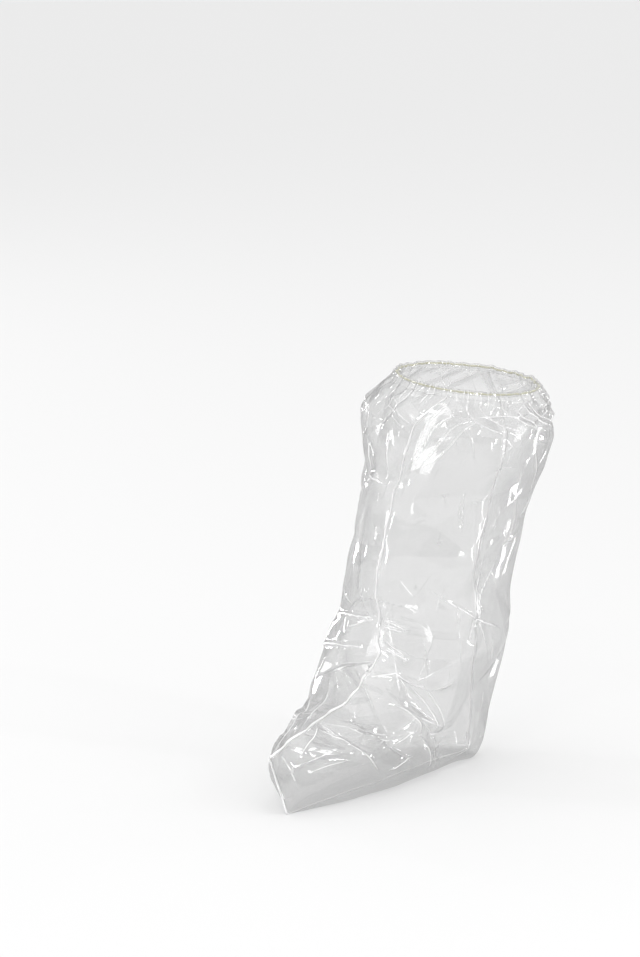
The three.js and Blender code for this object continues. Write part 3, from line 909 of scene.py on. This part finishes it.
@dataclass
class Weld:
    """A welded seam: a thin flange carried along the seam, with a thicker bead at its root."""

    form: BagForm
    name: str
    edge: slice
    span: tuple[float, float]
    reach: float = 2.2
    root: float = 1.0
    thickness: float = 0.5
    bead: float = 1.7
    bead_reach: float = 0.6
    ripple: float = 0.5
    waves: Waves = ((1.0, 1 / 5.3, 0.0), (0.6, 1 / 2.9, 1.3), (0.5, 1 / 11, 0.0))
    lowest: float = 0.1
    pitch: float = 1.6
    steps: int = 600

    def path(self) -> tuple[np.ndarray, np.ndarray, np.ndarray]:
        """Follows the seam through the sections, kept above the floor.

        Returns:
            The seam's points, the direction across it and a point inside the bag beside each.
        """
        places = np.linspace(*self.span, self.steps)
        section = self.form.at(places)
        points = section[:, self.edge].copy()
        points[:, 2] = np.maximum(points[:, 2], self.form.sole)
        return points, unit(section[:, ACROSS]), (section[:, FRONT] + section[:, BACK]) / 2

    def build(self) -> bpy.types.Object:
        """Carries the flange's profile along the seam: its width lies along the outward direction.

        Returns:
            The weld's object, closed at both ends.
        """
        path = self.path()
        walked = walk(path[0])
        evenly = np.linspace(0, walked[-1], max(int(walked[-1] / self.pitch), 2))
        points, across, inside = (along_path(evenly, walked, values) for values in path)
        run = unit(np.gradient(points, axis=0))
        out = unit(np.cross(run, across))
        out = out * np.sign(np.sum(out * (points - inside), axis=1, keepdims=True))
        wave = self.ripple * swing(evenly, self.waves)
        half, bead = self.thickness / 2, self.bead / 2
        profile = ((-half, -self.root), (-bead, 0.0), (-half, self.bead_reach), (-half, self.reach),
                   (half, self.reach), (half, self.bead_reach), (bead, 0.0), (half, -self.root))
        rings = []
        for sideways, outward in profile:
            sway = sideways + wave * max(outward, 0) / self.reach
            rings.append(points + across * sway[:, None] + out * outward)
        stacked = np.stack(rings, axis=1)
        stacked[..., 2] = np.maximum(stacked[..., 2], self.lowest)
        sides = len(profile)
        faces = grid_faces(len(points), sides, tube=True)
        first, last = np.arange(sides), (len(points) - 1) * sides + np.arange(sides)
        caps = np.array([[0, 1, 2, 3], [0, 3, 4, 7], [4, 5, 6, 7]])
        faces = np.concatenate((faces, first[caps], last[caps][:, ::-1]))
        return put_mesh(f"{self.name}_weld", stacked.reshape(-1, 3), faces, flat_uv(np.arange(sides), evenly))

    def dress(self, piece: bpy.types.Object, finish: bpy.types.Material) -> None:
        """Gives the weld its finish and says what it stands for."""
        stand_for(piece, finish, self.name)


@dataclass
class ToeWeld(Weld):
    """The short upright weld that closes the toe."""

    steps: int = 40

    def path(self) -> tuple[np.ndarray, np.ndarray, np.ndarray]:
        """Goes straight from the front seam's end to the sole seam's end.

        Returns:
            The same as for the other welds.
        """
        section = self.form.at(np.array((float(self.form.last), self.form.last - 1.0)))
        share = np.linspace(0, 1, self.steps)[:, None]
        front, back = section[0, FRONT], section[0, BACK]
        points = front + (back - front) * share
        across = np.repeat(section[:1, ACROSS], self.steps, axis=0)
        return points, across, np.repeat(section[1:, BACK], self.steps, axis=0)


@dataclass
class Hem:
    """The gathered casing: film turned inwards over the elastic, and the elastic in it.

    The rise has rows of out, up and the share of the gathers that the casing follows there.
    """

    form: BagForm
    gathers: Gathers
    columns: int = 420
    depth: float = 9.0
    inner_depth: float = 6.0
    lean: float = 4.0
    casing: float = 6.0
    rise: tuple[tuple[float, float, float], ...] = ((0.0, 0.0, 1.0), (-0.8, 1.6, 0.9), (-2.0, 3.4, 0.75),
                                                    (-3.2, 4.8, 0.65))
    top_share: float = 0.7
    inner_share: float = 0.6
    top_points: int = 9
    wall_middle: float = 0.5
    thickness: float = 0.3
    ruffle: float = 0.035
    # Bend of the gathers over which the crease mark grows: stress whitening and a painted highlight
    crease_whitening_and_highlight_bends: float = 0.3
    uv_step: float = 1.6
    elastic: float = 2.0
    elastic_drop: float = 2.6
    elastic_share: float = 0.45
    elastic_wave: float = 0.2
    elastic_sides: int = 10

    def ring(self) -> tuple[np.ndarray, np.ndarray, np.ndarray]:
        """Follows the hem's foot all round, along the outer film and back along the inner one.

        Returns:
            Points, level outward directions, and how far the gathers stand out.
        """
        shares = np.linspace(0, 1, self.columns)
        points, pushes = [], []
        for side in Side:
            half = self.form.half(np.zeros(1), shares, side)[0]
            points.append(half[0])
            pushes.append(self.gathers.push(side, shares, np.zeros(1)))
        points = np.concatenate((points[0], points[1][::-1]))
        run = unit(np.roll(points, -1, axis=0) - np.roll(points, 1, axis=0))
        out = unit(np.stack((run[:, 1], -run[:, 0], 0 * run[:, 0]), axis=-1))
        return points, out, np.concatenate((pushes[0], pushes[1][::-1]))

    def build(self) -> bpy.types.Object:
        """Carries an upturned U round the opening: up outside, over the top and a little way down inside.

        Returns:
            The casing's object.
        """
        points, out, push = self.ring()
        radius = self.casing / 2
        top = self.depth - radius
        over = [(-self.lean - radius * (1 - math.cos(a)), top + radius * math.sin(a), self.top_share)
                for a in np.linspace(0, np.pi, self.top_points)]
        fall = (over[-1][0], self.depth - self.inner_depth, self.inner_share)
        profile = (*self.rise, *over, fall)
        rows = [points + out * (outward + self.wall_middle + push * share)[:, None]
                + UP * (up * (1 + self.ruffle * push))[:, None]
                for outward, up, share in profile]
        grid = np.stack(rows, axis=1)
        faces = grid_faces(len(points), len(profile), ring=True, flip=True)
        uv = flat_uv(np.arange(len(profile)) * self.uv_step, walk(points))
        # Crease mark on the gathers' sharp turns: stress whitening and a painted highlight
        bend = np.abs(push - (np.roll(push, 1) + np.roll(push, -1)) / 2)
        crease_whitening_and_painted_highlight = np.repeat(np.clip(bend / self.crease_whitening_and_highlight_bends, 0, 1)[:, None], len(profile), axis=1)
        piece = put_mesh("hem_casing", grid.reshape(-1, 3), faces, uv, {"crease_whitening_and_painted_highlight": crease_whitening_and_painted_highlight})
        thicken(piece, self.thickness)
        return piece

    def build_elastic(self) -> bpy.types.Object:
        """Carries a circle round the opening inside the casing, waved a little by the gathers.

        Returns:
            The elastic's object.
        """
        points, out, push = self.ring()
        inward = -self.lean - self.casing / 2 + self.wall_middle
        middle = points + out * (inward + self.elastic_share * push)[:, None]
        middle = middle + UP * (self.depth - self.elastic_drop + self.elastic_wave * push)[:, None]
        angle = np.linspace(0, 2 * np.pi, self.elastic_sides, endpoint=False)
        radius = self.elastic / 2
        sides = [middle + out * (radius * math.cos(a)) + UP * (radius * math.sin(a)) for a in angle]
        faces = grid_faces(len(points), self.elastic_sides, ring=True, tube=True, flip=True)
        uv = flat_uv(angle * radius, walk(middle))
        return put_mesh("elastic_cord", np.stack(sides, axis=1).reshape(-1, 3), faces, uv)

    def dress(self, casing: bpy.types.Object, elastic: bpy.types.Object, film: bpy.types.Material,
              cord: bpy.types.Material) -> None:
        """Gives the casing and the elastic their finishes and says what they stand for.

        Args:
            casing: the casing.
            elastic: the elastic in it.
            film: the casing's finish.
            cord: the elastic's finish.
        """
        stand_for(casing, film, "hem")
        stand_for(elastic, cord, "elastic")


# Finishes


def grey(tone: float) -> tuple[float, float, float, float]:
    """A neutral colour."""
    return (tone, tone, tone, 1.0)


class Nodes:
    """A material's node tree, with short ways to add and join nodes."""

    def __init__(self, name: str) -> None:
        """Makes an empty node material.

        Args:
            name: the material's name.
        """
        self.material = bpy.data.materials.new(name)
        self.material.use_nodes = True
        self.tree = self.material.node_tree
        self.tree.nodes.clear()

    def add(self, kind: str, settings: dict | None = None, **inputs: object) -> bpy.types.Node:
        """Adds a node.

        Args:
            kind: the node's type, without its ShaderNode prefix.
            settings: the node's own properties.
            inputs: values or output sockets for its inputs, with spaces in names as underscores.

        Returns:
            The new node.
        """
        node = self.tree.nodes.new("ShaderNode" + kind)
        for key, value in (settings or {}).items():
            setattr(node, key, value)
        for key, value in inputs.items():
            self.set(node.inputs[key.replace("_", " ")], value)
        return node

    def set(self, socket: bpy.types.NodeSocket, value: object) -> None:
        """Joins an output to an input socket, or sets the socket's value.

        Args:
            socket: the input socket.
            value: an output socket, or a plain value.
        """
        if isinstance(value, bpy.types.NodeSocket):
            self.tree.links.new(value, socket)
        else:
            socket.default_value = value

    def math(self, operation: str, first: object, second: object = 0.0) -> bpy.types.NodeSocket:
        """Adds a calculation with two values.

        Args:
            operation: what is done with them.
            first: a value or an output socket.
            second: a value or an output socket.

        Returns:
            The result's socket.
        """
        node = self.add("Math", {"operation": operation})
        self.set(node.inputs[0], first)
        self.set(node.inputs[1], second)
        return node.outputs[0]

    def scaled(self, value: object, factor: float, start: float) -> bpy.types.NodeSocket:
        """Adds value * factor + start.

        Args:
            value: a value or an output socket.
            factor: what it is multiplied by.
            start: what is added.

        Returns:
            The result's socket.
        """
        result = self.math("MULTIPLY_ADD", value, factor)
        result.node.inputs[2].default_value = start
        return result

    def mix(self, share: object, first: bpy.types.Node, second: bpy.types.Node) -> bpy.types.Node:
        """Adds a mix of two shaders.

        Args:
            share: the second shader's share, as a value or an output socket.
            first: the first shader.
            second: the second shader.

        Returns:
            The mix.
        """
        node = self.add("MixShader")
        self.set(node.inputs[0], share)
        self.set(node.inputs[1], first.outputs[0])
        self.set(node.inputs[2], second.outputs[0])
        return node

    def finish(self, surface: bpy.types.Node) -> bpy.types.Material:
        """Joins the surface to the output and returns the material."""
        self.add("OutputMaterial", Surface=surface.outputs[0])
        return self.material


@dataclass(frozen=True)
class ClearFilm:
    """Clear polyethylene film: see-through, a little grey and hazy, glossy, and white along its creases,
    partly by stress whitening and partly as a painted highlight.
    """

    name: str
    passes: float = 0.905
    # Edge-on film lets less through: partly its longer path, partly painted shade in place of dark
    # reflections
    edge_loss_and_painted_shade: float = 0.42
    # Painted light: where the film rests on the floor, the painted edge shade is lifted and the sole reads
    # lighter over its contact shadow
    painted_shade_lift_at_rest: float = 0.7
    haze: float = 0.085
    edge_haze: float = 0.35
    haze_tone: float = 0.68
    # Creases turn milky and white: partly the film's stress whitening, partly a painted highlight
    crease_whitening_and_highlight_share: float = 0.9
    crease_whitening_and_highlight_tone: float = 0.97
    clouds: float = 0.08
    gloss: float = 0.08
    edge_gloss: float = 0.4
    roughness: float = 0.06
    crinkle: float = 0.28
    crinkle_scales: tuple[float, float] = (36.0, 105.0)
    small_share: float = 0.06
    line_share: float = 0.003

    EDGE_LOSS_AND_SHADE_POWER = 2.0
    HAZE_POWER = 3.0
    GLOSS_POWER = 5.0

    def crinkles(self, nodes: Nodes, flat: bpy.types.NodeSocket,
                 sway: bpy.types.Node) -> bpy.types.NodeSocket:
        """Bump of broad and small cells on swayed coordinates, with fine draw lines along the film.

        Args:
            nodes: the finish's nodes.
            flat: places on the flat film.
            sway: the noise that moves the cells.

        Returns:
            The bumped normal.
        """
        shift = nodes.add("VectorMath", {"operation": "SCALE"}, Scale=0.014)
        nodes.set(shift.inputs[0], sway.outputs["Color"])
        swayed = nodes.add("VectorMath", {"operation": "ADD"})
        nodes.set(swayed.inputs[0], flat)
        nodes.set(swayed.inputs[1], shift.outputs[0])
        broad, small = (nodes.add("TexVoronoi", Vector=swayed.outputs[0], Scale=scale).outputs["Distance"]
                        for scale in self.crinkle_scales)
        stretched = nodes.add("Mapping", Vector=flat, Scale=(260.0, 14.0, 1.0))
        drawn = nodes.add("TexNoise", Vector=stretched.outputs[0], Scale=1.0, Detail=2.0)
        height = nodes.math("ADD", broad, nodes.math("MULTIPLY", small, self.small_share))
        height = nodes.math("ADD", height, nodes.math("MULTIPLY", drawn.outputs[0], self.line_share))
        return nodes.add("Bump", Strength=self.crinkle, Distance=0.002, Height=height).outputs[0]

    def make(self) -> bpy.types.Material:
        """Mixes see-through, milky and mirror shares.

        The mirror share is gloss + edge_gloss * facing^5, the milky one haze + edge_haze * facing^3, and the
        light let through is passes less a share times facing^2, so edge-on film darkens: partly by its longer
        path, partly as painted shade in place of dark reflections. Facing is 1 where the film is edge-on, and
        less where it rests on the floor, which lifts that painted shade and lightens the sole over its
        contact shadow. Creases add to the milky share, partly as the film's stress whitening and partly as a
        painted highlight.

        Returns:
            The film's material.
        """
        nodes = Nodes(self.name)
        flat = nodes.add("UVMap", {"uv_map": "flat_film"}).outputs[0]
        sway = nodes.add("TexNoise", Vector=flat, Scale=28.0, Detail=1.0)
        normal = self.crinkles(nodes, flat, sway)
        # Where the film rests on the floor, facing is turned down: the painted edge shade is lifted and the
        # sole reads lighter
        rests = nodes.add("Attribute", {"attribute_name": "rests"}).outputs["Fac"]
        facing = nodes.add("LayerWeight", Blend=0.5, Normal=normal).outputs["Facing"]
        facing = nodes.math("MULTIPLY", facing, nodes.scaled(rests, -self.painted_shade_lift_at_rest, 1.0))
        mirror = nodes.scaled(nodes.math("POWER", facing, self.GLOSS_POWER), self.edge_gloss, self.gloss)
        # Crease mark: adds white to the milky share, partly stress whitening and partly a painted highlight
        crease_whitening_and_painted_highlight = nodes.add("Attribute", {"attribute_name": "crease_whitening_and_painted_highlight"}).outputs["Fac"]
        milky = nodes.scaled(nodes.math("POWER", facing, self.HAZE_POWER), self.edge_haze, self.haze)
        milky = nodes.math("ADD", milky, nodes.scaled(sway.outputs["Fac"], self.clouds, -self.clouds / 2))
        milky = nodes.math("ADD", milky, nodes.math("MULTIPLY", crease_whitening_and_painted_highlight, self.crease_whitening_and_highlight_share))
        tone = nodes.add("Mix", {"data_type": "RGBA"}, Factor=crease_whitening_and_painted_highlight)
        nodes.set(tone.inputs[6], grey(self.haze_tone))
        nodes.set(tone.inputs[7], grey(self.crease_whitening_and_highlight_tone))
        # Less light let through where edge-on: partly longer path, partly painted shade standing in for dark
        # reflections
        through = nodes.scaled(nodes.math("POWER", facing, self.EDGE_LOSS_AND_SHADE_POWER), -self.edge_loss_and_painted_shade, self.passes)
        clear = nodes.add("BsdfTransparent", Color=through)
        milk = nodes.add("BsdfDiffuse", Color=tone.outputs[2], Normal=normal)
        shine = nodes.add("BsdfGlossy", Color=grey(0.98), Roughness=self.roughness, Normal=normal)
        return nodes.finish(nodes.mix(mirror, nodes.mix(milky, clear, milk), shine))


@dataclass(frozen=True)
class ElasticYarn:
    """Covered elastic: pale cream thread wound closely round the core."""

    name: str = "elastic_yarn"
    colour: tuple[float, float, float] = (0.80, 0.77, 0.55)
    # Darker colour in the winding's grooves: painted shade
    painted_groove_shade: tuple[float, float, float] = (0.58, 0.57, 0.36)

    def make(self) -> bpy.types.Material:
        """Slanted bands on the flat coordinates give the winding's bump, and a painted shade in its grooves
        where the bands are low.

        Returns:
            The elastic's material.
        """
        nodes = Nodes(self.name)
        flat = nodes.add("UVMap", {"uv_map": "flat_film"}).outputs[0]
        turned = nodes.add("Mapping", Vector=flat, Rotation=(0.0, 0.0, 0.9))
        bands = nodes.add("TexWave", Vector=turned.outputs[0], Scale=420.0, Distortion=1.5, Detail=1.0)
        ramp = nodes.add("ValToRGB", Fac=bands.outputs["Fac"])
        ramp.color_ramp.elements[0].color = (*self.painted_groove_shade, 1.0)
        ramp.color_ramp.elements[1].color = (*self.colour, 1.0)
        bump = nodes.add("Bump", Strength=0.6, Distance=0.0003, Height=bands.outputs["Fac"])
        surface = nodes.add("BsdfPrincipled", Base_Color=ramp.outputs[0], Roughness=0.75,
                            Normal=bump.outputs[0])
        return nodes.finish(surface)


# Studio


@dataclass(frozen=True)
class Softbox:
    """A rectangular lamp: where it stands, what it faces, its size in metres and its power in watts."""

    name: str
    place: tuple[float, float, float]
    target: tuple[float, float, float]
    size: tuple[float, float]
    power: float

    def build(self) -> None:
        """Makes the lamp, unseen by the camera."""
        lamp = bpy.data.lights.new(self.name, "AREA")
        lamp.shape = "RECTANGLE"
        lamp.size, lamp.size_y = self.size
        lamp.energy = self.power
        box = bpy.data.objects.new(self.name, lamp)
        box.location = self.place
        box.rotation_euler = (Vector(self.target) - Vector(self.place)).to_track_quat("-Z", "Y").to_euler()
        box.visible_camera = False
        bpy.context.scene.collection.objects.link(box)


@dataclass
class Studio:
    """Pale floor, soft lamps and the camera at the photograph's angle."""

    floor_size: float = 60.0
    floor_tone: float = 0.80
    camera_turn: float = 35.0
    camera_distance: float = 4.917
    camera_height: float = 1.233
    camera_pitch: float = -10.7
    camera_heading: float = 1.37
    lens: float = 180.0
    sky: tuple[float, float] = (0.32, 1.42)
    lamps: tuple[Softbox, ...] = (
        Softbox("right_box", (5.4, -2.0, 0.45), (0.0, 0.0, -0.15), (1.4, 1.6), 42.0),
        Softbox("left_box", (-4.7, -3.9, 0.45), (0.0, 0.0, -0.15), (1.4, 1.6), 38.0),
        Softbox("front_strip", (-0.5, -4.8, 0.22), (0.0, 0.0, -0.1), (0.09, 1.2), 9.0),
        Softbox("left_strip", (-4.4, 0.77, 0.22), (0.0, 0.0, -0.1), (0.32, 1.2), 32.0),
        Softbox("right_strip", (4.0, 2.3, 0.22), (0.0, 0.0, -0.1), (0.15, 1.2), 16.0),
        Softbox("front_top", (0.93, -1.99, 1.6), (0.0, 0.0, -0.05), (0.6, 0.14), 5.0),
        Softbox("left_top", (-1.7, -0.45, 1.7), (0.0, 0.0, -0.2), (0.3, 0.12), 4.0),
        Softbox("right_top", (2.0, 0.2, 1.2), (0.0, -0.05, -0.25), (0.12, 0.4), 4.0),
        Softbox("back_strip", (0.7, 4.3, 1.1), (0.0, 0.0, -0.2), (0.9, 0.15), 9.0),
    )

    def build(self) -> None:
        """Makes the floor, lamps, surroundings and camera."""
        self.build_floor()
        for lamp in self.lamps:
            lamp.build()
        self.build_surroundings()
        self.build_camera()

    def build_floor(self) -> None:
        """Lays a plain pale floor under the sole."""
        half = self.floor_size / 2 / MM
        corners = np.array(((-half, -half, 0), (half, -half, 0), (half, half, 0), (-half, half, 0)), float)
        floor = put_mesh("floor", corners, np.array(((0, 1, 2, 3),)))
        nodes = Nodes("floor_paint")
        surface = nodes.add("BsdfPrincipled", Base_Color=grey(self.floor_tone), Roughness=0.6)
        floor.data.materials.append(nodes.finish(surface))

    def build_surroundings(self) -> None:
        """Sets a sky that brightens from the horizon upwards, and enough see-through layers for the folds."""
        world = bpy.data.worlds.new("studio")
        world.use_nodes = True
        nodes, links = world.node_tree.nodes, world.node_tree.links
        split = nodes.new("ShaderNodeSeparateXYZ")
        links.new(nodes.new("ShaderNodeTexCoord").outputs["Generated"], split.inputs[0])
        rise = nodes.new("ShaderNodeMapRange")
        rise.inputs["To Min"].default_value, rise.inputs["To Max"].default_value = self.sky
        links.new(split.outputs["Z"], rise.inputs["Value"])
        back = nodes["Background"]
        back.inputs["Color"].default_value = grey(1.0)
        links.new(rise.outputs[0], back.inputs["Strength"])
        scene = bpy.context.scene
        scene.world = world
        scene.view_settings.view_transform = "Standard"
        scene.cycles.transparent_max_bounces = 96

    def build_camera(self) -> None:
        """Stands the camera off the leg at the photograph's turn, height and pitch."""
        turn = math.radians(self.camera_turn)
        place = Vector((math.sin(turn) * self.camera_distance, -math.cos(turn) * self.camera_distance,
                        self.camera_height))
        data = bpy.data.cameras.new("camera")
        data.lens = self.lens
        data.clip_end = 100.0
        camera = bpy.data.objects.new("camera", data)
        camera.location = place - Vector(RIM * MM)
        pitch = math.radians(90 + self.camera_pitch)
        camera.rotation_euler = (pitch, 0.0, turn + math.radians(self.camera_heading))
        bpy.context.scene.collection.objects.link(camera)
        bpy.context.scene.camera = camera


def main() -> None:
    """Builds the cover piece by piece, then the studio."""
    logging.basicConfig(level=logging.INFO, format="%(name)s: %(message)s")
    form, gathers, crumple = BagForm(), Gathers(), Crumple()
    # Each film whitens at its creases, partly as a painted highlight, and darkens where edge-on, partly as
    # painted shade
    film = ClearFilm("clear_film").make()
    weld = ClearFilm("weld_film", passes=0.98, edge_loss_and_painted_shade=0.1, haze=0.85, edge_haze=0.1, haze_tone=0.97,
                     gloss=0.3, roughness=0.3, crinkle=0.1).make()
    doubled = ClearFilm("hem_film", passes=0.96, edge_loss_and_painted_shade=0.15, haze=0.06, edge_haze=0.12,
                        haze_tone=0.8, crease_whitening_and_highlight_share=0.5).make()

    hem = Hem(form, gathers)
    casing, elastic = hem.build(), hem.build_elastic()
    hem.dress(casing, elastic, doubled, ElasticYarn().make())
    made = [casing, elastic]
    for side in Side:
        panel = Film(form, gathers, crumple, side)
        piece = panel.build()
        panel.dress(piece, film)
        made.append(piece)
    last = float(form.last)
    seams = (
        Weld(form, "front_seam", FRONT, (HEM_GAP, last)),
        Weld(form, "sole_seam", BACK, (HEEL, last), reach=0.6, ripple=0.0, bead=0.9),
        Weld(form, "back_seam", BACK, (HEM_GAP, HEEL - HEEL_GAP)),
        ToeWeld(form, "toe_seam", BACK, (last, last), reach=1.3, ripple=0.2, bead=1.0),
    )
    for seam in seams:
        piece = seam.build()
        seam.dress(piece, weld)
        made.append(piece)
    for piece in made:
        LOG.info("%s: %d points, %d faces", piece.name, len(piece.data.vertices), len(piece.data.polygons))
    Studio().build()


if __name__ == "__main__":
    main()
